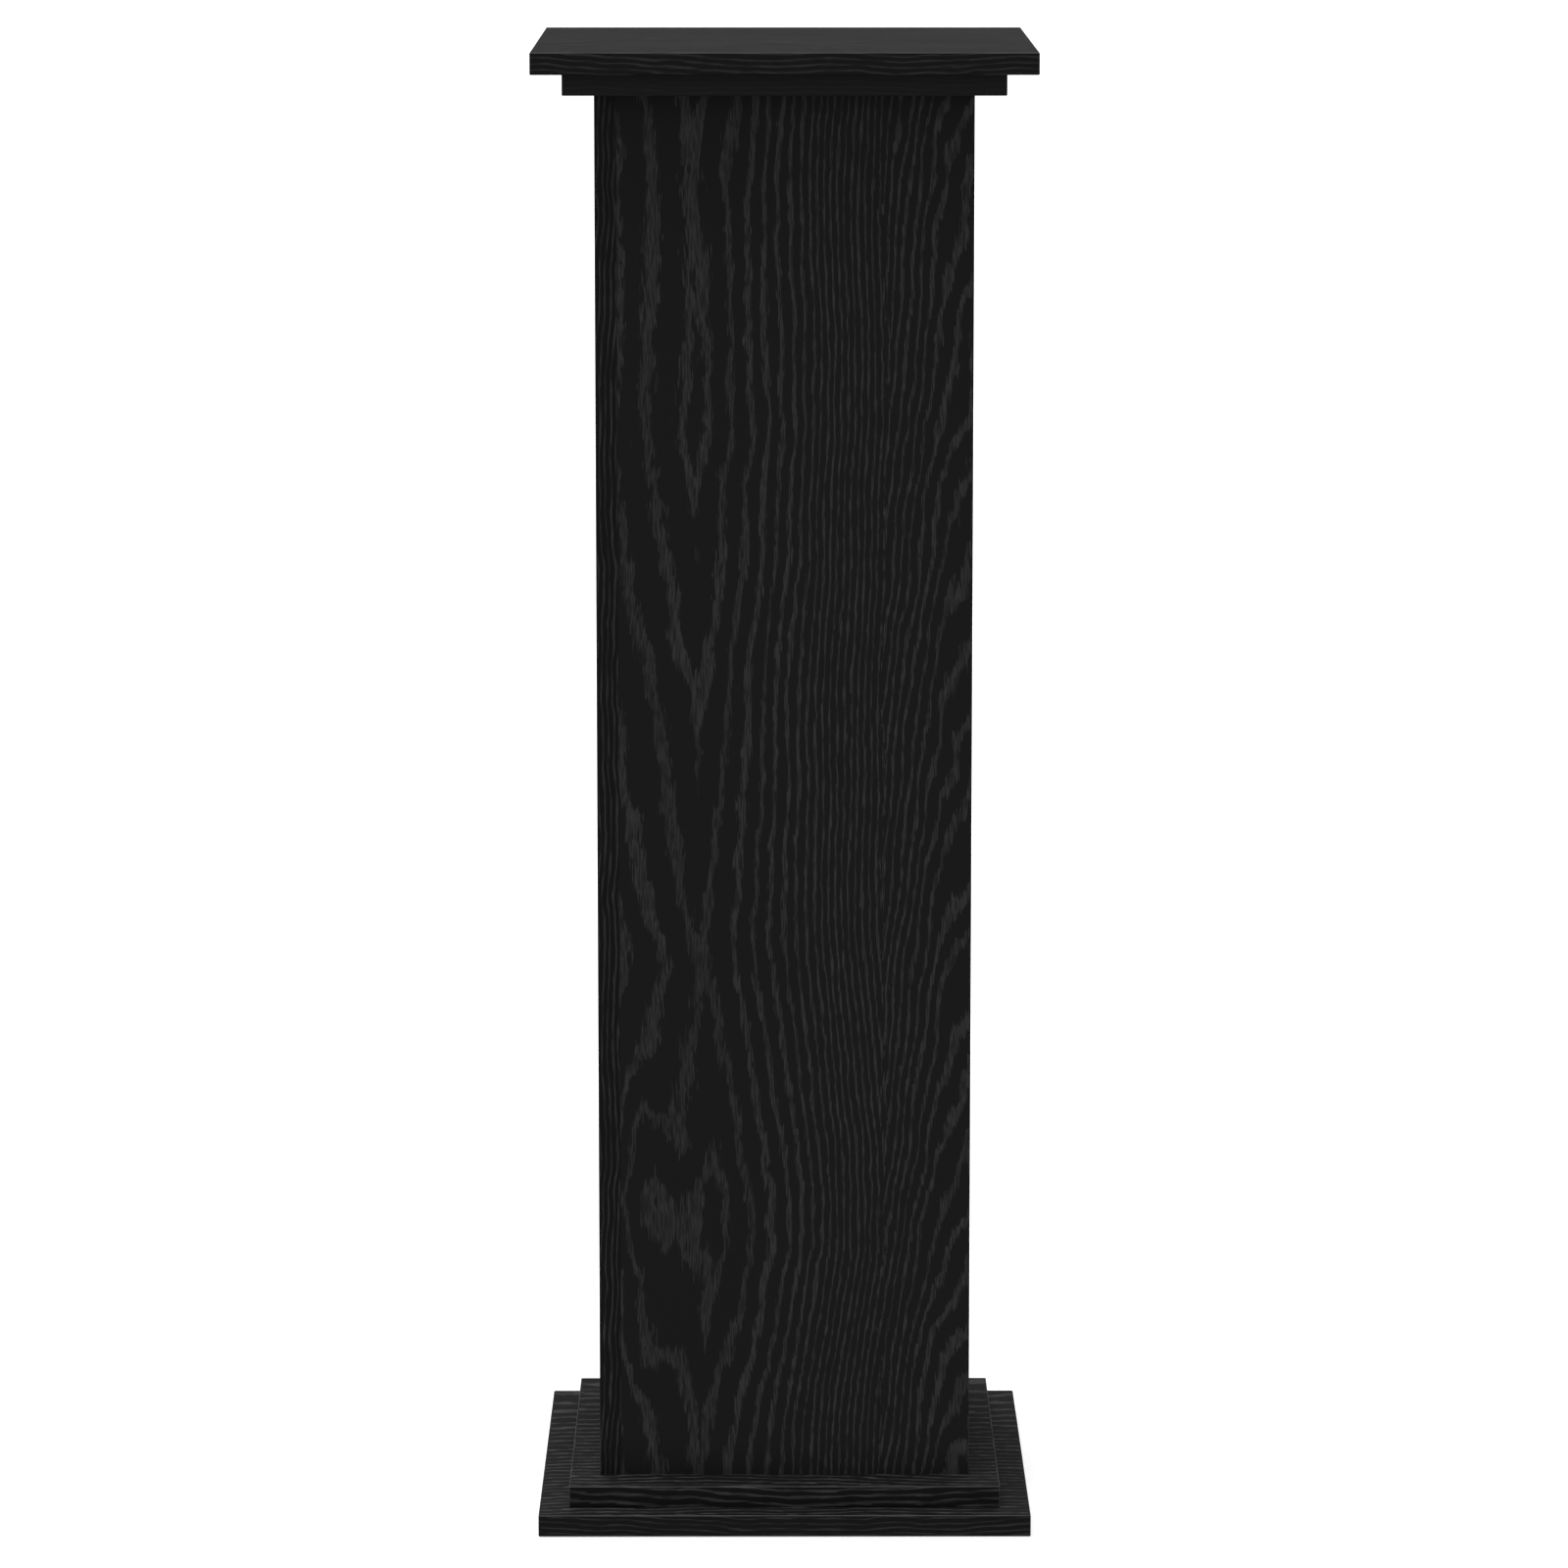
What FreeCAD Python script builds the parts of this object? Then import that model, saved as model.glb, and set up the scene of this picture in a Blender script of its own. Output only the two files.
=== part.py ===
import FreeCAD, Part
import os

import Sketcher
from FreeCAD import Placement, Rotation, Vector

# Display plinth: a hollow column of four panels between two pairs of square plates.
# Millimetres. The origin is the centre of the underside, +Z is up, the front faces -Y and
# +X is to the right of someone who looks at the front.

DIMENSIONS = {
    # Overall sizes
    "plinth_width": 340,
    "plinth_depth": 340,
    "plinth_height": 1020,
    # Boards, and the bands glued on their edges
    "board_thickness": 15,
    "band_thickness": 1,
    "arris_radius": 0.8,
    # How far each tier stands back, on each side, from the tier outside it
    "step_setback": 20.75,
    "column_side_setback": 20.75,
    "column_face_setback": 31.25,
    # Wooden dowels: the seat is the length that goes into a board's face
    "dowel_diameter": 8,
    "dowel_length": 30,
    "dowel_seat": 10,
    "dowel_chamfer": 0.8,
    "corner_dowel_inset": 100,
    "top_dowel_inset": 45,
    # Connector screws, up through the base step plate into the panels
    "connector_diameter": 7,
    "connector_length": 50,
    "connector_head": 10,
    "connector_socket": 4,
    "connector_socket_depth": 3,
    "connector_inset": 60,
    # Wood screws between each cover plate and its step plate
    "screw_diameter": 4,
    "screw_length": 25,
    "screw_head": 8,
    "screw_slot_length": 4.4,
    "screw_slot_width": 0.9,
    "screw_slot_depth": 1.8,
    "screw_inset": 50,
    # How deep the screw heads lie, and the play round and past each fastener
    "head_recess": 0.4,
    "side_play": 0.05,
    "end_play": 0.5,
}

DOWELS_PER_CORNER = 4
COUNTERSINK_ANGLE = 90

# Expressions in the sheet's values
COLUMN_WIDTH = "(dims.plinth_width - 2 * dims.step_setback - 2 * dims.column_side_setback)"
COLUMN_DEPTH = "(dims.plinth_depth - 2 * dims.step_setback - 2 * dims.column_face_setback)"
STEP_WIDTH = "(dims.plinth_width - 2 * dims.step_setback)"
STEP_DEPTH = "(dims.plinth_depth - 2 * dims.step_setback)"
PANEL_HEIGHT = "(dims.plinth_height - 4 * dims.board_thickness)"
PANEL_BASE = "2 * dims.board_thickness"
HALF_BOARD = "(dims.board_thickness / 2)"
DOWEL_HOLE = "(dims.dowel_diameter + 2 * dims.side_play)"
DOWEL_SEAT_DEPTH = "(dims.dowel_seat + dims.end_play)"
DOWEL_EDGE_DEPTH = "(dims.dowel_length - dims.dowel_seat + dims.end_play)"
HEAD_PLAY = "2 * (dims.head_recess + dims.side_play)"
BEYOND_BOARD = "dims.head_recess - dims.board_thickness + dims.end_play"
CONNECTOR_HOLE = "(dims.connector_diameter + 2 * dims.side_play)"
CONNECTOR_SINK = f"(dims.connector_head + {HEAD_PLAY})"
CONNECTOR_DEPTH = f"(dims.connector_length + {BEYOND_BOARD})"
SCREW_HOLE = "(dims.screw_diameter + 2 * dims.side_play)"
SCREW_SINK = f"(dims.screw_head + {HEAD_PLAY})"
SCREW_DEPTH = f"(dims.screw_length + {BEYOND_BOARD})"

# Each side's number is its quarter turns from the front; a piece is modelled facing -Y
SIDES = ("front", "right", "back", "left")

ALONG_X = Rotation(Vector(0, 1, 0), 90)
UPSIDE_DOWN = Rotation(Vector(1, 0, 0), 180)
UPRIGHT = Rotation()

# Sketcher's numbers for a curve's points, and for the sketch's own origin
START, END, CENTRE = 1, 2, 3
ORIGIN = -1

TOLERANCE = 1e-6

doc = FreeCAD.newDocument("display_plinth")
nodes = []


def make_dimension_sheet():
    sheet = doc.addObject("Spreadsheet::Sheet", "dims")
    for row, (alias, value) in enumerate(DIMENSIONS.items(), start=1):
        sheet.set(f"A{row}", alias)
        sheet.set(f"B{row}", str(value))
        sheet.setAlias(f"B{row}", alias)
    doc.recompute()


# Places


def is_end_to_end(side):
    """True of the front and back, which run along X."""
    return side % 2 == 0


def turned(side, x, y):
    """The place (x, y), as expressions, after the side's quarter turns about Z."""
    return ((x, y), (f"-({y})", x), (f"-({x})", f"-({y})"), (y, f"-({x})"))[side]


def place(item, x, y, z, side=0):
    """Put a piece that is modelled facing -Y on its side of the plinth."""
    item.Placement = Placement(Vector(), Rotation(Vector(0, 0, 1), 90 * side))
    for letter, expression in zip("xyz", (*turned(side, x, y), z)):
        item.setExpression(f"Placement.Base.{letter}", expression)


def add_node(item, name):
    item.Label = name
    nodes.append(item)


# Sketches


def new_sketch(body, name, plane="XY_Plane", offset=None):
    """An empty sketch on one of the body's own planes, moved along that plane's normal."""
    sketch = body.newObject("Sketcher::SketchObject", f"{body.Name}_{name}")
    origin_plane = next(item for item in body.Origin.OriginFeatures if item.Role == plane)
    sketch.AttachmentSupport = [(origin_plane, "")]
    sketch.MapMode = "FlatFace"
    if offset:
        sketch.setExpression("AttachmentOffset.Base.z", offset)
    return sketch


def constrain(sketch, constraint, expression):
    index = sketch.addConstraint(constraint)
    sketch.setExpression(f"Constraints[{index}]", expression)


def fix_point(sketch, geometry, point, x, y):
    """Hold a point of the geometry at (x, y) from the sketch's origin."""
    for kind, expression in (("DistanceX", x), ("DistanceY", y)):
        distance = Sketcher.Constraint(kind, ORIGIN, START, geometry, point, 1.0)
        constrain(sketch, distance, expression)


def draw_polygon(sketch, corners):
    """A closed outline through corners given as pairs of expressions."""
    count = len(corners)
    for index in range(count):
        sketch.addGeometry(Part.LineSegment(Vector(index, 0, 0), Vector(index + 1, 1, 0)))
    for index, (x, y) in enumerate(corners):
        before = (index - 1) % count
        sketch.addConstraint(Sketcher.Constraint("Coincident", before, END, index, START))
        fix_point(sketch, index, START, x, y)


def draw_rectangle(sketch, left, right, low, high):
    draw_polygon(sketch, [(left, low), (right, low), (right, high), (left, high)])


def draw_circles(sketch, centres, diameter):
    for index, (x, y) in enumerate(centres):
        sketch.addGeometry(Part.Circle(Vector(index, 0, 0), Vector(0, 0, 1), 1))
        constrain(sketch, Sketcher.Constraint("Diameter", index, 2.0), diameter)
        fix_point(sketch, index, CENTRE, x, y)


# Features


def pad(body, sketch, length, midplane=False):
    feature = body.newObject("PartDesign::Pad", f"{body.Name}_pad")
    feature.Profile = sketch
    feature.Midplane = midplane
    feature.setExpression("Length", length)
    doc.recompute()


def require_cut(body, volume_before):
    doc.recompute()
    if not body.Shape.Volume < volume_before:
        raise RuntimeError(f"{body.Name}: a cut removed nothing")


def drill(body, name, centres, diameter, depth=None, sink=None, backwards=False, **sketch_place):
    """Holes along the sketch's normal, or backwards: blind to a depth, or through and sunk."""
    marks = new_sketch(body, name, **sketch_place)
    draw_circles(marks, centres, diameter)
    doc.recompute()
    volume_before = body.Shape.Volume
    hole = body.newObject("PartDesign::Hole", f"{marks.Name}_holes")
    hole.Profile = marks
    hole.Reversed = not backwards
    hole.ThreadType = "None"
    hole.setExpression("Diameter", diameter)
    if depth:
        hole.DepthType = "Dimension"
        hole.DrillPoint = "Flat"
        hole.setExpression("Depth", depth)
    else:
        hole.DepthType = "ThroughAll"
    if sink:
        hole.HoleCutType = "Countersink"
        hole.HoleCutCustomValues = True
        hole.HoleCutCountersinkAngle = COUNTERSINK_ANGLE
        hole.setExpression("HoleCutDiameter", sink)
    require_cut(body, volume_before)


def cut_recess(body, sketch, depth):
    """The driver's recess in a screw's head."""
    doc.recompute()
    volume_before = body.Shape.Volume
    recess = body.newObject("PartDesign::Pocket", f"{body.Name}_recess")
    recess.Profile = sketch
    recess.Reversed = True
    recess.setExpression("Length", depth)
    require_cut(body, volume_before)


def dress_edges(body, kind, size_name, size, is_chosen):
    """Round or chamfer those edges of the body that pass the test."""
    whole = body.Tip
    edges = enumerate(whole.Shape.Edges, start=1)
    names = [f"Edge{index}" for index, edge in edges if is_chosen(edge)]
    feature = body.newObject(f"PartDesign::{kind}", f"{body.Name}_{kind.lower()}")
    feature.Base = (whole, names)
    feature.setExpression(size_name, size)
    doc.recompute()


def round_arrises(body, is_chosen):
    dress_edges(body, "Fillet", "Radius", "dims.arris_radius", is_chosen)


# Fasteners: each is modelled once, and every group links to it


def make_dowel():
    """A wooden dowel along Z, with its seat below the joint at z = 0."""
    body = doc.addObject("PartDesign::Body", "dowel")
    section = new_sketch(body, "section", offset="-dims.dowel_seat")
    draw_circles(section, [("0", "0")], "dims.dowel_diameter")
    pad(body, section, "dims.dowel_length")
    dress_edges(body, "Chamfer", "Size", "dims.dowel_chamfer",
                lambda edge: isinstance(edge.Curve, Part.Circle))
    return body


def make_countersunk_screw(name, head, diameter, length):
    """A screw along Z, its head's flat top at z = 0; a plain shank stands for the thread."""
    body = doc.addObject("PartDesign::Body", name)
    section = new_sketch(body, "section", "XZ_Plane")
    shank_radius = f"{diameter} / 2"
    draw_polygon(section, [("0", "0"),
                           (f"{head} / 2", "0"),
                           (shank_radius, f"({head} - {diameter}) / 2"),
                           (shank_radius, f"{length} - {shank_radius}"),
                           (f"{shank_radius} / 2", length),
                           ("0", length)])
    turning = body.newObject("PartDesign::Revolution", f"{name}_turning")
    turning.Profile = section
    turning.ReferenceAxis = (section, ["V_Axis"])
    turning.Angle = 360
    doc.recompute()
    return body


def make_connector_screw():
    """The one-piece connector for chipboard, with a hexagon socket."""
    body = make_countersunk_screw("connector_screw", "dims.connector_head",
                                  "dims.connector_diameter", "dims.connector_length")
    flat = "dims.connector_socket / 2"
    point = f"{flat} / cos(30)"
    shoulder = f"{point} / 2"
    socket = new_sketch(body, "socket")
    draw_polygon(socket, [(flat, shoulder), ("0", point), (f"-{flat}", shoulder),
                          (f"-{flat}", f"-{shoulder}"), ("0", f"-{point}"),
                          (flat, f"-{shoulder}")])
    cut_recess(body, socket, "dims.connector_socket_depth")
    return body


def make_wood_screw():
    """The countersunk wood screw, with a cross recess."""
    body = make_countersunk_screw("wood_screw", "dims.screw_head", "dims.screw_diameter",
                                  "dims.screw_length")
    tip = "dims.screw_slot_length / 2"
    side = "dims.screw_slot_width / 2"
    arm = ((tip, f"-{side}"), (tip, side), (side, side))
    cross = new_sketch(body, "cross")
    draw_polygon(cross, [turned(quarter, x, y) for quarter in range(4) for x, y in arm])
    cut_recess(body, cross, "dims.screw_slot_depth")
    return body


def make_group(name, fastener, places, rotation=UPRIGHT):
    """One node of identical fasteners at places (x, y, z)."""
    group = doc.addObject("Part::Compound", name)
    links = []
    for index, expressions in enumerate(places, start=1):
        link = doc.addObject("App::Link", f"{name}_{index}")
        link.LinkedObject = fastener
        link.LinkPlacement = Placement(Vector(), rotation)
        for letter, expression in zip("xyz", expressions):
            link.setExpression(f"LinkPlacement.Base.{letter}", expression)
        links.append(link)
    group.Links = links
    add_node(group, name)
    return group


# Edge bands


def make_plate_band(plate_name, side, across, out, base):
    """A band on one edge of a plate: those in front and behind cover the others' ends."""
    name = f"{plate_name}_{SIDES[side]}_band"
    body = doc.addObject("PartDesign::Body", name)
    section = new_sketch(body, "section", "YZ_Plane")
    draw_rectangle(section, "0", "dims.band_thickness", "0", "dims.board_thickness")
    if is_end_to_end(side):
        pad(body, section, across, midplane=True)
        round_arrises(body, lambda edge: edge.BoundBox.YMin < TOLERANCE)
    else:
        pad(body, section, f"{across} - 2 * dims.band_thickness", midplane=True)
        round_arrises(body, lambda edge: edge.BoundBox.YMax < TOLERANCE
                      and edge.BoundBox.XLength > TOLERANCE)
    place(body, "0", f"-{out} / 2", base, side)
    add_node(body, name)


def make_panel_band(panel_name, side, x, y):
    """The upright band on a panel's exposed edge."""
    name = f"{panel_name}_band"
    body = doc.addObject("PartDesign::Body", name)
    section = new_sketch(body, "section")
    draw_rectangle(section, "-dims.band_thickness", "0", "0", "dims.board_thickness")
    pad(body, section, PANEL_HEIGHT)
    round_arrises(body, lambda edge: edge.BoundBox.XMin > -TOLERANCE
                  and edge.BoundBox.ZLength > TOLERANCE)
    place(body, x, y, PANEL_BASE, side)
    add_node(body, name)


# Boards


def make_plate(name, width, depth, base):
    """A banded plate; its holes are drilled afterwards, from below."""
    body = doc.addObject("PartDesign::Body", name)
    outline = new_sketch(body, "outline")
    half_width = f"({width} / 2 - dims.band_thickness)"
    half_depth = f"({depth} / 2 - dims.band_thickness)"
    draw_rectangle(outline, f"-{half_width}", half_width, f"-{half_depth}", half_depth)
    pad(body, outline, "dims.board_thickness")
    place(body, "0", "0", base)
    add_node(body, name)
    for side in range(len(SIDES)):
        across, out = (width, depth) if is_end_to_end(side) else (depth, width)
        make_plate_band(name, side, across, out, base)
    return body


def make_panel(side, dowel, connector_screw):
    """A column panel, its band, and the fasteners in its other three edges.

    It is modelled facing -Y. Its left edge butts against the inner face of the panel on its
    left. Its right edge is exposed, and its face there takes the panel on its right.
    """
    across, out = panel_sizes(side)
    width = f"({across} - dims.board_thickness)"
    name = f"{SIDES[side]}_panel"
    body = doc.addObject("PartDesign::Body", name)
    outline = new_sketch(body, "outline")
    draw_rectangle(outline, "0", f"{width} - dims.band_thickness", "0", "dims.board_thickness")
    pad(body, outline, PANEL_HEIGHT)

    spacing = f"({PANEL_HEIGHT} - 2 * dims.corner_dowel_inset) / {DOWELS_PER_CORNER - 1}"
    heights = [f"dims.corner_dowel_inset + {index} * {spacing}"
               for index in range(DOWELS_PER_CORNER)]
    top_centres = in_from_ends(width, "dims.top_dowel_inset")
    base_centres = in_from_ends(width, "dims.connector_inset")
    drill(body, "edge_marks", [(HALF_BOARD, height) for height in heights], DOWEL_HOLE,
          depth=DOWEL_EDGE_DEPTH, plane="YZ_Plane")
    drill(body, "face_marks", [(f"{width} - {HALF_BOARD}", height) for height in heights],
          DOWEL_HOLE, depth=DOWEL_SEAT_DEPTH, plane="XZ_Plane", offset="-dims.board_thickness")
    drill(body, "top_marks", top_centres, DOWEL_HOLE, depth=DOWEL_EDGE_DEPTH, offset=PANEL_HEIGHT,
          backwards=True)
    drill(body, "base_marks", base_centres, CONNECTOR_HOLE, depth=CONNECTOR_DEPTH)

    x = f"-{across} / 2 + dims.board_thickness"
    y = f"-{out} / 2"
    place(body, x, y, PANEL_BASE, side)
    add_node(body, name)
    make_panel_band(name, side, f"{across} / 2", y)

    connector_start = "dims.head_recess - dims.board_thickness"
    groups = (
        make_group(f"{name}_corner_dowels", dowel,
                   [("0", HALF_BOARD, height) for height in heights], ALONG_X),
        make_group(f"{name}_top_dowels", dowel,
                   [(*centre, PANEL_HEIGHT) for centre in top_centres], UPSIDE_DOWN),
        make_group(f"{name}_connectors", connector_screw,
                   [(*centre, connector_start) for centre in base_centres]),
    )
    for group in groups:
        place(group, x, y, PANEL_BASE, side)


def panel_sizes(side):
    """The column's size along a side, and its size through that side."""
    sizes = (COLUMN_WIDTH, COLUMN_DEPTH)
    return sizes if is_end_to_end(side) else sizes[::-1]


def in_from_ends(width, inset):
    """Two centres in the middle of a panel's thickness, in from its two ends."""
    return [(inset, HALF_BOARD), (f"{width} - {inset}", HALF_BOARD)]


def over_panels(inset):
    """The centres of all four panels' end fasteners, from the middle of the column."""
    centres = []
    for side in range(len(SIDES)):
        across, out = panel_sizes(side)
        y = f"-{out} / 2 + {HALF_BOARD}"
        centres.append(turned(side, f"-{across} / 2 + dims.board_thickness + {inset}", y))
        centres.append(turned(side, f"{across} / 2 - {inset}", y))
    return centres


def make_plates(wood_screw):
    base_step_level = "dims.board_thickness"
    top_level = "dims.plinth_height - dims.board_thickness"
    top_step_level = "dims.plinth_height - 2 * dims.board_thickness"
    base_plate = make_plate("base_plate", "dims.plinth_width", "dims.plinth_depth", "0")
    base_step_plate = make_plate("base_step_plate", STEP_WIDTH, STEP_DEPTH, base_step_level)
    top_step_plate = make_plate("top_step_plate", STEP_WIDTH, STEP_DEPTH, top_step_level)
    top_plate = make_plate("top_plate", "dims.plinth_width", "dims.plinth_depth", top_level)

    screw_x = f"({COLUMN_WIDTH} / 2 - dims.screw_inset)"
    screw_y = f"({COLUMN_DEPTH} / 2 - dims.screw_inset)"
    screw_centres = [turned(quarter, *centre) for quarter in (0, 2)
                     for centre in ((screw_x, screw_y), (screw_x, f"-{screw_y}"))]
    for outer, inner in ((base_plate, base_step_plate), (top_step_plate, top_plate)):
        drill(outer, "screw_marks", screw_centres, SCREW_HOLE, sink=SCREW_SINK)
        drill(inner, "screw_marks", screw_centres, SCREW_HOLE, depth=SCREW_DEPTH)
    drill(base_step_plate, "connector_marks", over_panels("dims.connector_inset"), CONNECTOR_HOLE,
          sink=CONNECTOR_SINK)
    drill(top_step_plate, "dowel_marks", over_panels("dims.top_dowel_inset"), DOWEL_HOLE,
          depth=DOWEL_SEAT_DEPTH)

    make_group("base_plate_screws", wood_screw,
               [(*centre, "dims.head_recess") for centre in screw_centres])
    make_group("top_plate_screws", wood_screw,
               [(*centre, f"{top_step_level} + dims.head_recess") for centre in screw_centres])


def write_nodes():
    """Write each node to its own file, once the whole document is sound."""
    for item in doc.Objects:
        if "Invalid" in item.State or "Error" in item.State:
            raise RuntimeError(f"{item.Name} did not build: {item.State}")
    for node in nodes:
        if node.Shape.isNull() or not node.Shape.isValid():
            raise RuntimeError(f"{node.Label} has no valid shape")
    os.makedirs("parts", exist_ok=True)
    for node in nodes:
        node.Shape.exportStep(f"parts/{node.Label}.step")


make_dimension_sheet()
dowel = make_dowel()
connector_screw = make_connector_screw()
make_plates(make_wood_screw())
for side in range(len(SIDES)):
    make_panel(side, dowel, connector_screw)
doc.recompute()
write_nodes()
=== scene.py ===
import math

import bmesh
import bpy
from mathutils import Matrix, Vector


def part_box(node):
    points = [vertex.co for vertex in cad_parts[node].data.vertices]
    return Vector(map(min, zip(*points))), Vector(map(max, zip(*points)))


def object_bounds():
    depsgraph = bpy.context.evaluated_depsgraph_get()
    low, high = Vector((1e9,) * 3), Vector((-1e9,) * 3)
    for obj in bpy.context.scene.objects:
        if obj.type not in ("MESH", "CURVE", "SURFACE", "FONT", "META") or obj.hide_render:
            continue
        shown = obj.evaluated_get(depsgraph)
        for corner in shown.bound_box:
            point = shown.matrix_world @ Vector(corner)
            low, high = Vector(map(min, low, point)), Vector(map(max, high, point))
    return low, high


# Display plinth: the black oak foil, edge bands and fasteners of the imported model, in a studio.
# Metres, except where a name ends in MM or a note says that a figure is in mm.

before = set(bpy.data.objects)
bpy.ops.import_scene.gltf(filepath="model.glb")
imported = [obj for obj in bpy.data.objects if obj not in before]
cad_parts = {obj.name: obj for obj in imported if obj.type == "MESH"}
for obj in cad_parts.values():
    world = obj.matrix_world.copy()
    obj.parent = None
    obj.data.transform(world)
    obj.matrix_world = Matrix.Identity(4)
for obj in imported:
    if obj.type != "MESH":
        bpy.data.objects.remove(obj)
cad_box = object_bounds()
low, high = cad_box
width = high.x - low.x

MM = 0.001
AXES = "XYZ"
PLATES = ("base_plate", "base_step_plate", "top_step_plate", "top_plate")
# The axis that each side of the plinth runs along
SIDES = {"front": "X", "right": "Y", "back": "X", "left": "Y"}
# How squarely a surface faces its nearest axis, from well inside an arris's rounding to its end
ROUNDING = (0.80, 0.985)
# How far up a surface faces, from too far down for worn edges and the bands' painted arris
# highlight, to enough
WORN_AND_HIGHLIT_SIDE = (-0.2, 0.1)


# Node trees


def grey(level):
    return (level, level, level, 1.0)


class Graph:
    """A node tree that is built a step at a time."""

    def __init__(self, tree):
        self.tree = tree

    def node(self, kind, **settings):
        made = self.tree.nodes.new(kind)
        for name, value in settings.items():
            setattr(made, name, value)
        return made

    def feed(self, socket, value):
        """Link a socket to another, or set its value."""
        if isinstance(value, bpy.types.NodeSocket):
            self.tree.links.new(value, socket)
        else:
            socket.default_value = value

    def math(self, operation, *values, clamp=False):
        made = self.node("ShaderNodeMath", operation=operation, use_clamp=clamp)
        for socket, value in zip(made.inputs, values):
            self.feed(socket, value)
        return made.outputs[0]

    def add(self, *values):
        total = values[0]
        for value in values[1:]:
            total = self.math("ADD", total, value)
        return total

    def less(self, first, second):
        """first less second."""
        return self.math("SUBTRACT", first, second)

    def times(self, first, second):
        return self.math("MULTIPLY", first, second)

    def line(self, value, slope, start=0.0):
        """value times slope, plus start."""
        return self.math("MULTIPLY_ADD", value, slope, start)

    def step(self, value, start, end):
        """0 below start, 1 above end and smooth between them."""
        made = self.node("ShaderNodeMapRange", interpolation_type="SMOOTHSTEP")
        for name, item in (("Value", value), ("From Min", start), ("From Max", end)):
            self.feed(made.inputs[name], item)
        return made.outputs["Result"]

    def blend(self, factor, first, second, data="FLOAT"):
        """first where the factor is 0, and second where it is 1."""
        made = self.node("ShaderNodeMix", data_type=data)
        for name, item in (("Factor", factor), ("A", first), ("B", second)):
            self.feed(made.inputs[name], item)
        return made.outputs["Result"]

    def mix(self, factor, first, second):
        return self.blend(factor, first, second, data="RGBA")

    def curve(self, value, stations):
        """A smooth curve through the stations, each a value, from 0 up, and what it becomes."""
        values, results = zip(*stations)
        lowest = min(results)
        span = max(results) - lowest
        made = self.node("ShaderNodeFloatCurve")
        points = made.mapping.curves[0].points
        while len(points) < len(stations):
            points.new(0.5, 0.5)
        for point, (at, result) in zip(points, stations):
            point.location = (at / values[-1], (result - lowest) / span)
        made.mapping.update()
        self.feed(made.inputs["Value"], self.math("DIVIDE", value, float(values[-1])))
        return self.line(made.outputs[0], span, lowest)

    def place(self, x, y, z=0.0):
        made = self.node("ShaderNodeCombineXYZ")
        for socket, value in zip(made.inputs, (x, y, z)):
            self.feed(socket, value)
        return made.outputs[0]

    def parts(self, vector):
        made = self.node("ShaderNodeSeparateXYZ")
        self.feed(made.inputs[0], vector)
        return made.outputs

    def noise(self, place, scale=1.0, detail=2.0):
        """Noise about 0, mostly within a quarter either way."""
        made = self.node("ShaderNodeTexNoise")
        for name, item in (("Vector", place), ("Scale", scale), ("Detail", detail)):
            self.feed(made.inputs[name], item)
        return self.less(made.outputs["Fac"], 0.5)

    def spot(self):
        """The piece's own coordinates."""
        return self.node("ShaderNodeTexCoord").outputs["Object"]

    def normal(self):
        return self.parts(self.node("ShaderNodeTexCoord").outputs["Normal"])

    def facing(self, axis):
        """How squarely the surface faces along an axis, either way: 0 to 1."""
        return self.math("ABSOLUTE", self.normal()[axis])

    def arris(self):
        """1 on an arris that is rounded between square faces, unless it faces down."""
        squarest = self.facing("X")
        for axis in "YZ":
            squarest = self.math("MAXIMUM", squarest, self.facing(axis))
        rounded = self.less(1.0, self.step(squarest, *ROUNDING))
        return self.times(rounded, self.step(self.normal()["Z"], *WORN_AND_HIGHLIT_SIDE))

    def bump(self, height, strength, depth_mm):
        made = self.node("ShaderNodeBump")
        for name, item in (("Height", height), ("Strength", strength), ("Distance", depth_mm * MM)):
            self.feed(made.inputs[name], item)
        return made.outputs[0]


def new_material(name):
    """A material, its graph and its shader's inputs."""
    material = bpy.data.materials.new(name)
    material.use_nodes = True
    shader = material.node_tree.nodes["Principled BSDF"]
    return material, Graph(material.node_tree), shader.inputs


# The oak's figure, in mm: Across is measured from the board's heart, Along up the log. What
# multiplies noise moves things by about a quarter of itself.

# Growth rings passed along the board's heart, at heights up the log
HEART_RINGS = ((0, 2.1), (30, 2.0), (95, 1.33), (147, 0.98), (185, 0.62), (217, 1.0), (254, 1.33),
               (344, 1.97), (366, 2.08), (387, 1.97), (487, 1.33), (550, 1.0), (646, 0.33),
               (702, 0.0), (730, -0.12), (759, 0.0), (802, 0.08), (900, 0.02), (960, -0.22))
# Rings passed from the heart outward: wide at first, then fine
RIGHT_RINGS = ((0, 0.0), (10, 0.44), (25, 1.3), (49, 3.3), (74, 6.4), (95, 10.5), (150, 22.4),
               (240, 41.0))
LEFT_RINGS = ((0, 0.0), (10, 0.42), (30, 1.15), (54, 2.15), (80, 4.1), (120, 9.0), (200, 24.0))
# How far to the right the heart swerves, at heights up the log
SWERVE = ((0, 0.0), (60, 3.0), (130, 9.0), (190, 11.0), (260, 9.0), (350, 5.0), (450, 0.0),
          (960, 0.0))
# How far the whole figure wanders to and fro, and how quickly up the log
WANDER = 16.0
WANDER_RATE = 0.006
# Hollows in the log: across, along, half width, half height and the rings they add
HOLLOWS = ((-52.0, 213.0, 24.0, 82.0, -1.44), (-42.0, 112.0, 22.0, 45.0, -0.42),
           (-20.0, 160.0, 7.0, 45.0, -0.15))
# Past this place the rings lean outward up the log, and flare where the next heart is near
LEANING = 128.0
LEANING_RINGS = ((0, 0.0), (18, 3.3), (32, 5.3), (41, 6.2), (60, 7.2), (110, 9.6))
LEANING_CLIMB = ((0, 18.5), (480, 8.0), (960, 0.0))
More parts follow.
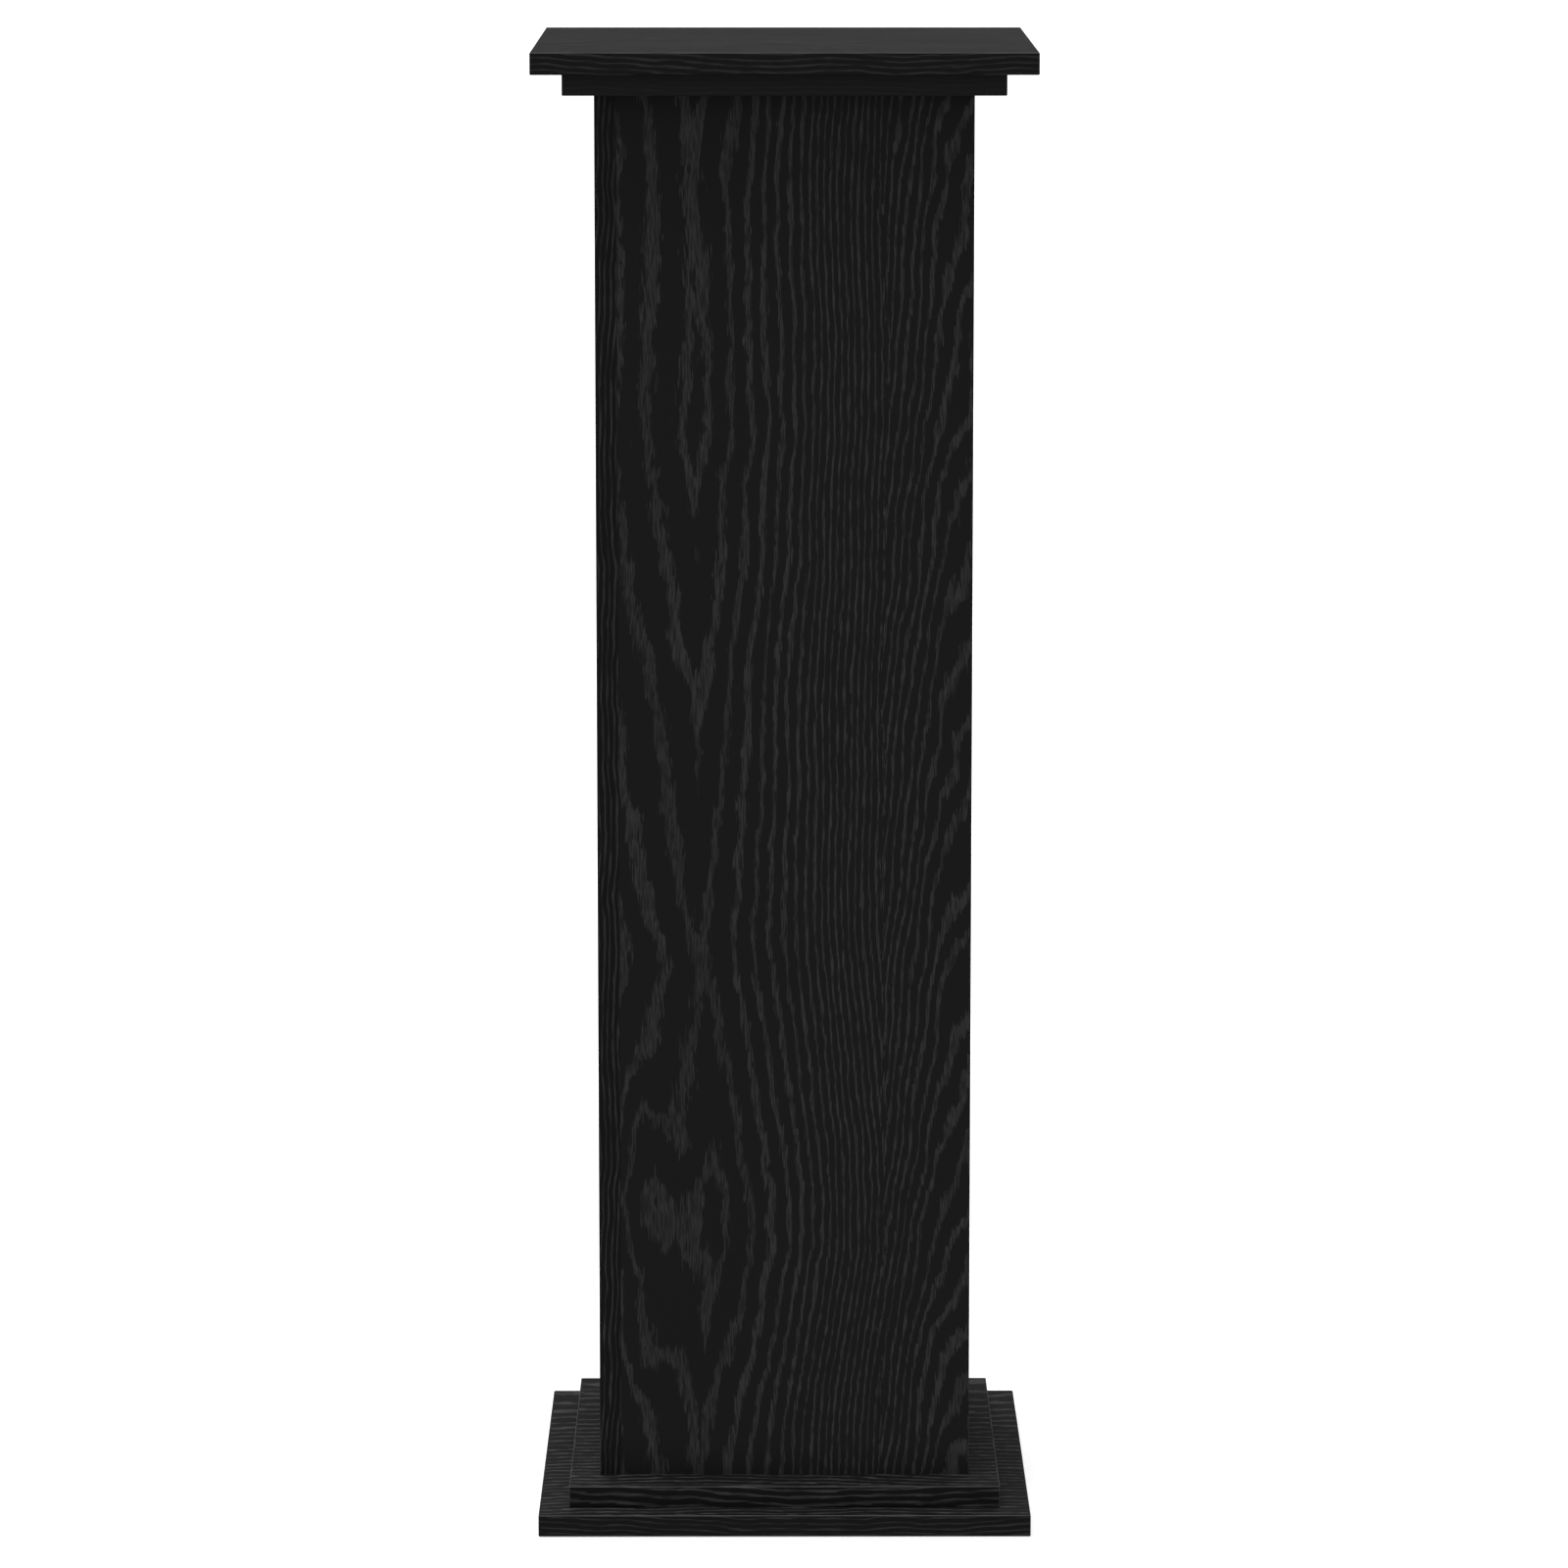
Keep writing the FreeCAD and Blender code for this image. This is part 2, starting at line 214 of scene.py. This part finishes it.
# Ripples: how quickly they pass across and along, and the detail in them
LONG_WAVES = (0.022, 0.007, 1.0)
WAVES = (0.05, 0.018, 1.0)
SHORT_WAVES = (0.12, 0.035, 2.0)
DASHES = (0.75, 0.07, 1.5)
PORES = (1.05, 0.07, 1.5)
# How far each ripple moves a line, in rings, and how much further where the rings lean
LONG_WAVES_MOVE = 0.9
WAVES_MOVE = 0.4
WAVES_MOVE_LEANING = 1.0
SHORT_WAVES_MOVE = 0.65
DASHES_MOVE = 0.55
# How far the dashes move the border of the leaning rings, in mm
BORDER_FRAY = 24.0
# The share of a ring that is late wood, and what a good or bad season adds to it and to its light
LATE_WOOD = 0.28
SEASON_WIDTH = 0.25
SEASON_LIGHT = 1.2
# How quickly the seasons change from ring to ring and up the log
SEASON_RATES = (0.73, 0.004)
# The share of a ring over which its late wood comes in, and fades out
COMES_IN = 0.05
FADES_OUT = 0.10
# How sharply the pores are cut, and how light the late wood stays in them
PORE_EDGE = 0.08
PORE_LIGHT = 0.28
# Added to every ring's number, which keeps it above 0
FIRST_RING = 50.0


def rings_outward(g, across):
    """Rings passed from the heart to a place on either side of it."""
    to_right = g.curve(g.math("MAXIMUM", across, 0.0), RIGHT_RINGS)
    to_left = g.curve(g.math("MAXIMUM", g.times(across, -1.0), 0.0), LEFT_RINGS)
    return g.add(to_right, to_left)


def hollow(g, across, along, sunken):
    """The rings that a smooth oval hollow adds, most at its middle."""
    at_across, at_along, half_width, half_height, rings = sunken
    off_across = g.line(across, 1 / half_width, -at_across / half_width)
    off_along = g.line(along, 1 / half_height, -at_along / half_height)
    off = g.add(g.times(off_across, off_across), g.times(off_along, off_along))
    return g.times(g.math("EXPONENT", g.times(off, -1.0)), rings)


def leaning_rings(g, across, along):
    past = g.math("MAXIMUM", g.less(across, LEANING), 0.0)
    return g.add(g.curve(past, LEANING_RINGS), g.curve(along, LEANING_CLIMB))


def oak_figure():
    """A group that draws flat-sawn oak: the rings of a log, cut by the board's face."""
    tree = bpy.data.node_groups.new("oak_figure", "ShaderNodeTree")
    for name in ("Across", "Along", "Sheet"):
        tree.interface.new_socket(name, in_out="INPUT", socket_type="NodeSocketFloat")
    tree.interface.new_socket("Grain", in_out="OUTPUT", socket_type="NodeSocketFloat")
    g = Graph(tree)
    given = g.node("NodeGroupInput").outputs
    across, along, sheet = given["Across"], given["Along"], given["Sheet"]

    def ripple(kind):
        across_rate, along_rate, detail = kind
        place = g.place(g.times(across, across_rate), g.times(along, along_rate), sheet)
        return g.noise(place, detail=detail)

    wander = g.noise(g.place(g.times(along, WANDER_RATE), sheet), detail=1.0)
    across = g.line(wander, WANDER, across)
    off_heart = g.less(across, g.curve(along, SWERVE))
    rings = g.add(rings_outward(g, off_heart), g.curve(along, HEART_RINGS))
    for sunken in HOLLOWS:
        rings = g.add(rings, hollow(g, off_heart, along, sunken))
    dashes = ripple(DASHES)
    leaning = g.math("GREATER_THAN", g.line(dashes, BORDER_FRAY, across), LEANING)
    rings = g.blend(leaning, rings, leaning_rings(g, across, along))
    rings = g.line(ripple(LONG_WAVES), LONG_WAVES_MOVE, rings)
    rings = g.line(ripple(WAVES), g.line(leaning, WAVES_MOVE_LEANING, WAVES_MOVE), rings)
    rings = g.line(ripple(SHORT_WAVES), SHORT_WAVES_MOVE, rings)
    rings = g.line(dashes, DASHES_MOVE, rings)

    phase = g.math("FRACT", g.add(rings, FIRST_RING))
    ring_rate, climb_rate = SEASON_RATES
    ring_place = g.times(g.math("FLOOR", rings), ring_rate)
    season = g.noise(g.place(ring_place, g.times(along, climb_rate), sheet), detail=1.0)
    late_share = g.line(season, SEASON_WIDTH, LATE_WOOD)
    begun = g.step(phase, 0.0, COMES_IN)
    ended = g.step(phase, late_share, g.add(late_share, FADES_OUT))
    late_wood = g.times(begun, g.less(1.0, ended))
    pores = g.step(ripple(PORES), -PORE_EDGE, PORE_EDGE)
    light = g.times(g.line(pores, 1.0 - PORE_LIGHT, PORE_LIGHT), g.line(season, SEASON_LIGHT, 1.0))
    g.feed(g.node("NodeGroupOutput").inputs["Grain"], g.times(late_wood, light))
    return tree


OAK = oak_figure()


def draw_oak(g, across, along, sheet):
    """The figure at a place given in mm; each sheet number is another printed sheet."""
    figure = g.node("ShaderNodeGroup", node_tree=OAK)
    for name, value in (("Across", across), ("Along", along), ("Sheet", sheet)):
        g.feed(figure.inputs[name], value)
    return figure.outputs["Grain"]


# Finishes

# How light the foil's ground is, and its grain on the panels, the lower plates and the top plate
FOIL_GROUND = 0.0070
FOIL_GRAIN = 0.029
PLATE_GRAIN = 0.052
TOP_GRAIN = 0.031
# A band's print: how light its ground and its grain are, and how far, in mm, the strip that was
# cut for the band lay from the heart
PANEL_PRINT = (0.0034, 0.026, 92.0)
# The top step plate's bands have a lighter ground than the others: painted light that lifts the
# shade the top plate casts on them
PLATE_PRINTS_AND_SHADE_LIFT = {"base_plate": (0.0042, 0.024, 92.0), "base_step_plate": (0.0034, 0.036, 62.0),
                "top_step_plate": (0.0092, 0.015, 110.0), "top_plate": (0.0042, 0.022, 92.0)}
# How finely the figure is drawn along and across a band, and the place up the log, in mm, that
# falls at the plinth's own 0
STRIP_FINENESS = (0.7, 1.25)
STRIP_PLACE = 400.0
# How far the strip's lines wave, in mm, and how quickly along it
STRIP_WAVE = 14.0
STRIP_WAVE_RATE = 0.018
# How much the bands are rubbed at their upward arrises and given a painted highlight there, and how
# light that leaves them
PANEL_RUBBING_AND_HIGHLIGHT = 0.3
PLATE_RUBBING_AND_HIGHLIGHT = 1.1
RUBBED_AND_HIGHLIT = 0.10
FOIL_ROUGHNESS = 0.66
BAND_ROUGHNESS = 0.62
PRINT_SHINE = 0.085
FOIL_DEPTH = 1.1 * MM
CHIP = 2.2 * MM
SPECKLE = 0.5 * MM
TURNING_MARK = 0.12 * MM
# Patches to a metre: of cloudiness in the foil and the zinc, and of the bands' rubbed arrises with
# their painted highlight
FOIL_CLOUDS = 9.0
ZINC_CLOUDS = 420.0
RUB_AND_HIGHLIGHT_PATCHES = 35.0
# Beech fibres to a millimetre, along the dowel and across it
FIBRES = (0.09, 1.1)


def chipboard(g):
    """The raw core that shows at a board's sawn edges and in its holes."""
    chips = g.node("ShaderNodeTexVoronoi")
    g.feed(chips.inputs["Vector"], g.spot())
    g.feed(chips.inputs["Scale"], 1 / CHIP)
    # as even a spread of tones, dealt to the chips in another order
    tone = g.math("FRACT", g.times(g.parts(chips.outputs["Color"])["X"], 7.0))
    return g.mix(tone, (0.22, 0.13, 0.065, 1.0), (0.50, 0.35, 0.20, 1.0))


def core(g, name, through):
    """1 deeper in the board than its foil and the rounding of the band beside it, or else 0."""
    near, far = (corner[AXES.index(through)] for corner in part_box(name))
    off_middle = g.math("ABSOLUTE", g.less(g.parts(g.spot())[through], (near + far) / 2))
    return g.math("LESS_THAN", off_middle, (far - near) / 2 - FOIL_DEPTH)


def oak_foil(name, across, along, sheet, heart, turn=1, climb=1, start=0.0, spread=1.0,
             light=FOIL_GRAIN):
    """The foil on the board of that name.

    across and along are the board's own axes, and the third runs through its thickness. The
    heart lies at that share of the board's width, and start is how far up the log, in mm, the
    board begins. turn and climb, 1 or -1, are the ways the figure runs across and along, and
    spread is how much wider it is drawn. light is the grain's own lightness.
    """
    material, g, shader = new_material(f"{name}_foil")
    near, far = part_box(name)
    a, b = AXES.index(across), AXES.index(along)
    heart_place = near[a] + heart * (far[a] - near[a])
    foot = near[b] if climb > 0 else far[b]
    spot = g.spot()
    across_mm = g.times(g.less(g.parts(spot)[across], heart_place), turn / (spread * MM))
    along_mm = g.line(g.less(g.parts(spot)[along], foot), climb / MM, start)
    grain = draw_oak(g, across_mm, along_mm, sheet)
    cloud = g.noise(spot, FOIL_CLOUDS, 3.0)

    ground = g.mix(g.line(cloud, 1.0, 0.5), grey(FOIL_GROUND * 0.9), grey(FOIL_GROUND * 1.1))
    foil = g.mix(grain, ground, grey(light))
    through = next(axis for axis in AXES if axis not in (across, along))
    raw = g.times(g.math("LESS_THAN", g.facing(through), 0.5), core(g, name, through))
    g.feed(shader["Base Color"], g.mix(raw, foil, chipboard(g)))
    roughness = g.line(grain, 0.08, FOIL_ROUGHNESS)
    g.feed(shader["Roughness"], g.add(roughness, g.times(cloud, 0.16), g.times(raw, 0.2)))
    shader["Specular IOR Level"].default_value = PRINT_SHINE
    speckle = g.noise(spot, 1 / SPECKLE, 1.0)
    g.feed(shader["Normal"], g.bump(g.line(speckle, 0.25, grain), 0.35, 0.05))
    return material


def edge_band(name, across, along, sheet, rubbing_and_highlight, band_print):
    """The printed band on a board's edge: fine lines along it, made lighter at the upward arrises
    by rubbing and a painted highlight.

    across and along are the band's own axes, and sheet is the printed sheet it was cut from.
    """
    ground, light, off_heart = band_print
    fineness_along, fineness_across = STRIP_FINENESS
    material, g, shader = new_material(f"{name}_print")
    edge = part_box(name)[0][AXES.index(across)]
    spot = g.spot()
    along_mm = g.line(g.parts(spot)[along], fineness_along / MM, STRIP_PLACE)
    wave = g.noise(g.place(g.times(along_mm, STRIP_WAVE_RATE), sheet))
    from_edge = g.less(g.parts(spot)[across], edge)
    across_mm = g.add(g.line(from_edge, fineness_across / MM, off_heart), g.times(wave, STRIP_WAVE))
    grain = draw_oak(g, across_mm, along_mm, sheet)
    # Painted highlight as well as rubbing: upward arrises are lightened toward a pale grey,
    # standing in for the light their rounding catches, as well as for worn print
    rub_and_highlight = g.line(g.noise(spot, RUB_AND_HIGHLIGHT_PATCHES, 3.0), 1.1 * rubbing_and_highlight, 0.6 * rubbing_and_highlight)
    wear_and_highlight = g.math("MULTIPLY", g.arris(), rub_and_highlight, clamp=True)
    g.feed(shader["Base Color"], g.mix(wear_and_highlight, g.mix(grain, grey(ground), grey(light)), grey(RUBBED_AND_HIGHLIT)))
    roughness = g.add(g.line(grain, 0.10, BAND_ROUGHNESS), g.times(wear_and_highlight, -0.12))
    g.feed(shader["Roughness"], roughness)
    shader["Specular IOR Level"].default_value = PRINT_SHINE
    g.feed(shader["Normal"], g.bump(grain, 0.3, 0.04))
    return material


def beech(along):
    """Turned beech, its grain and dark flecks running along the dowel."""
    material, g, shader = new_material(f"beech_{along.lower()}")
    parts = g.parts(g.spot())
    along_rate, across_rate = FIBRES
    rates = [along_rate if axis == along else across_rate for axis in AXES]
    place = g.place(*(g.times(parts[axis], rate / MM) for axis, rate in zip(AXES, rates)))
    fibre = g.noise(place, 1.0, 3.0)
    fleck = g.step(g.noise(place, 2.3, 1.0), 0.10, 0.16)
    tone = g.mix(g.line(fibre, 1.6, 0.5), (0.46, 0.29, 0.155, 1.0), (0.66, 0.47, 0.29, 1.0))
    g.feed(shader["Base Color"], g.mix(fleck, tone, (0.30, 0.17, 0.085, 1.0)))
    g.feed(shader["Roughness"], g.line(fibre, 0.3, 0.62))
    g.feed(shader["Normal"], g.bump(fibre, 0.4, 0.1))
    return material


def zinc_steel():
    """Bright zinc plate: fine turning marks and a cloudy shine, brighter on worn edges."""
    material, g, shader = new_material("zinc_steel")
    spot = g.spot()
    cloud = g.noise(spot, ZINC_CLOUDS, 3.0)
    marks = g.noise(g.place(g.times(g.parts(spot)["Z"], 1 / TURNING_MARK), 0.0))
    plate = g.mix(g.line(cloud, 1.4, 0.5), (0.50, 0.51, 0.52, 1.0), (0.66, 0.65, 0.60, 1.0))
    g.feed(shader["Base Color"], g.mix(g.times(g.arris(), 0.5), plate, grey(0.78)))
    g.feed(shader["Roughness"], g.line(cloud, 0.5, 0.36))
    shader["Metallic"].default_value = 1.0
    g.feed(shader["Normal"], g.bump(marks, 0.25, 0.02))
    return material


# Dressing the pieces

PANEL_CUTS = {
    "front": {"sheet": 1.0, "heart": 0.222},
    "right": {"sheet": 2.0, "heart": 0.62, "turn": -1, "start": 130.0},
    "back": {"sheet": 3.0, "heart": 0.30, "climb": -1, "start": -170.0},
    "left": {"sheet": 4.0, "heart": 0.42, "climb": -1, "start": 210.0},
}
# The heart of the lower plates' sheets lies off the board
PLATE_CUT = {"heart": 1.25, "spread": 1.8, "light": PLATE_GRAIN}
TOP_CUT = {"heart": 0.42, "light": TOP_GRAIN}
# How much further up its log each plate's sheet starts than the one below it, in mm
PLATE_START = 180.0
# The first sheet numbers of the panels' bands, the plates and the plates' bands
PANEL_BAND_SHEET = 11.0
PLATE_SHEET = 21.0
PLATE_BAND_SHEET = 31.0


def dress(name, material):
    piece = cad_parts[name]
    piece.data.materials.clear()
    piece.data.materials.append(material)


def dress_panels():
    """The four panels, cut from four sheets, with the grain upright."""
    for number, (side, across) in enumerate(SIDES.items()):
        panel = f"{side}_panel"
        band = f"{panel}_band"
        through = "Y" if across == "X" else "X"
        dress(panel, oak_foil(panel, across, "Z", **PANEL_CUTS[side]))
        sheet = PANEL_BAND_SHEET + number
        dress(band, edge_band(band, through, "Z", sheet, PANEL_RUBBING_AND_HIGHLIGHT, PANEL_PRINT))


def dress_plates():
    """The plates, with their grain from side to side."""
    for number, plate in enumerate(PLATES):
        cut = TOP_CUT if plate == "top_plate" else PLATE_CUT
        sheet = PLATE_SHEET + number
        dress(plate, oak_foil(plate, "Y", "X", sheet, start=PLATE_START * number, **cut))
        sheet = PLATE_BAND_SHEET + number
        for side, along in SIDES.items():
            band = f"{plate}_{side}_band"
            dress(band, edge_band(band, "Z", along, sheet, PLATE_RUBBING_AND_HIGHLIGHT, PLATE_PRINTS_AND_SHADE_LIFT[plate]))


def dress_fasteners():
    zinc = zinc_steel()
    dowels = {axis: beech(axis) for axis in AXES}
    for side, across in SIDES.items():
        dress(f"{side}_panel_corner_dowels", dowels[across])
        dress(f"{side}_panel_top_dowels", dowels["Z"])
        dress(f"{side}_panel_connectors", zinc)
    dress("base_plate_screws", zinc)
    dress("top_plate_screws", zinc)


# Studio

# How bright the world is: the light it gives, and the background that is seen
GLOW = 0.38
BACKDROP = 1.1
# Each lamp: where its light comes from, its strength, its spread in degrees, and whether gloss
# shows it
LAMPS = {
    "key": ((-0.20, -0.04, 1.0), 2.78, 58.0, True),
    "fill": ((0.9, -1.0, 0.5), 0.6, 60.0, True),
    "front": ((-0.2, -1.0, -0.12), 0.66, 60.0, True),
    "back": ((-0.35, 1.0, 0.1), 0.9, 60.0, False),
}
FLOOR_RADIUS = 40.0
FLOOR_GAP = 0.5 * MM
FLOOR_GLOW = 0.4
LENS_MM = 151.0
SENSOR_MM = 36.0
# Where the camera stands, in widths of the plinth, and how far down it looks, in degrees
EYE = (-0.032, -13.43, 3.69)
LOOK_DOWN = 9.4


def studio_world():
    """Soft white light all round, and a plain white background."""
    world = bpy.data.worlds.new("studio")
    bpy.context.scene.world = world
    world.use_nodes = True
    g = Graph(world.node_tree)
    glow = world.node_tree.nodes["Background"]
    backdrop = g.node("ShaderNodeBackground")
    for light, strength in ((glow, GLOW), (backdrop, BACKDROP)):
        g.feed(light.inputs["Color"], grey(1.0))
        g.feed(light.inputs["Strength"], strength)
    chosen = g.node("ShaderNodeMixShader")
    g.feed(chosen.inputs[0], g.node("ShaderNodeLightPath").outputs["Is Camera Ray"])
    g.feed(chosen.inputs[1], glow.outputs[0])
    g.feed(chosen.inputs[2], backdrop.outputs[0])
    g.feed(world.node_tree.nodes["World Output"].inputs["Surface"], chosen.outputs[0])


def soft_lamp(name, source, strength, spread, in_gloss):
    """Even light from the direction of source, as from a large diffuser."""
    light = bpy.data.lights.new(name, "SUN")
    light.energy = strength
    light.angle = math.radians(spread)
    lamp = bpy.data.objects.new(name, light)
    lamp.rotation_euler = (-Vector(source)).to_track_quat("-Z", "Y").to_euler()
    lamp.visible_glossy = in_gloss
    bpy.context.scene.collection.objects.link(lamp)


def floor():
    """A pale, slightly bright floor just under the plinth, which it neither lights nor shades."""
    shape = bmesh.new()
    bmesh.ops.create_circle(shape, cap_ends=True, segments=96, radius=FLOOR_RADIUS)
    bmesh.ops.translate(shape, verts=shape.verts, vec=(0.0, 0.0, low.z - FLOOR_GAP))
    mesh = bpy.data.meshes.new("studio_floor")
    shape.to_mesh(mesh)
    shape.free()
    piece = bpy.data.objects.new("studio_floor", mesh)
    bpy.context.scene.collection.objects.link(piece)
    piece.visible_diffuse = False
    piece.visible_glossy = False
    piece.visible_shadow = False
    material, g, shader = new_material("floor_paint")
    cloud = g.noise(g.spot(), 1.5)
    g.feed(shader["Base Color"], g.mix(g.line(cloud, 1.0, 0.5), grey(0.86), grey(0.90)))
    shader["Roughness"].default_value = 0.9
    shader["Specular IOR Level"].default_value = 0.1
    shader["Emission Color"].default_value = grey(1.0)
    shader["Emission Strength"].default_value = FLOOR_GLOW
    mesh.materials.append(material)


def camera():
    """A long lens in front, a little above the plinth's top, looking down at its middle."""
    data = bpy.data.cameras.new("camera")
    data.lens = LENS_MM
    data.sensor_width = SENSOR_MM
    eye = bpy.data.objects.new("camera", data)
    bpy.context.scene.collection.objects.link(eye)
    eye.location = [widths * width for widths in EYE]
    drop = -eye.location.y * math.tan(math.radians(LOOK_DOWN))
    target = Vector((0.0, 0.0, eye.location.z - drop))
    eye.rotation_euler = (target - eye.location).to_track_quat("-Z", "Y").to_euler()
    bpy.context.scene.camera = eye


dress_panels()
dress_plates()
dress_fasteners()
studio_world()
floor()
for lamp_name, settings in LAMPS.items():
    soft_lamp(lamp_name, *settings)
camera()
bpy.context.scene.view_settings.view_transform = "Standard"
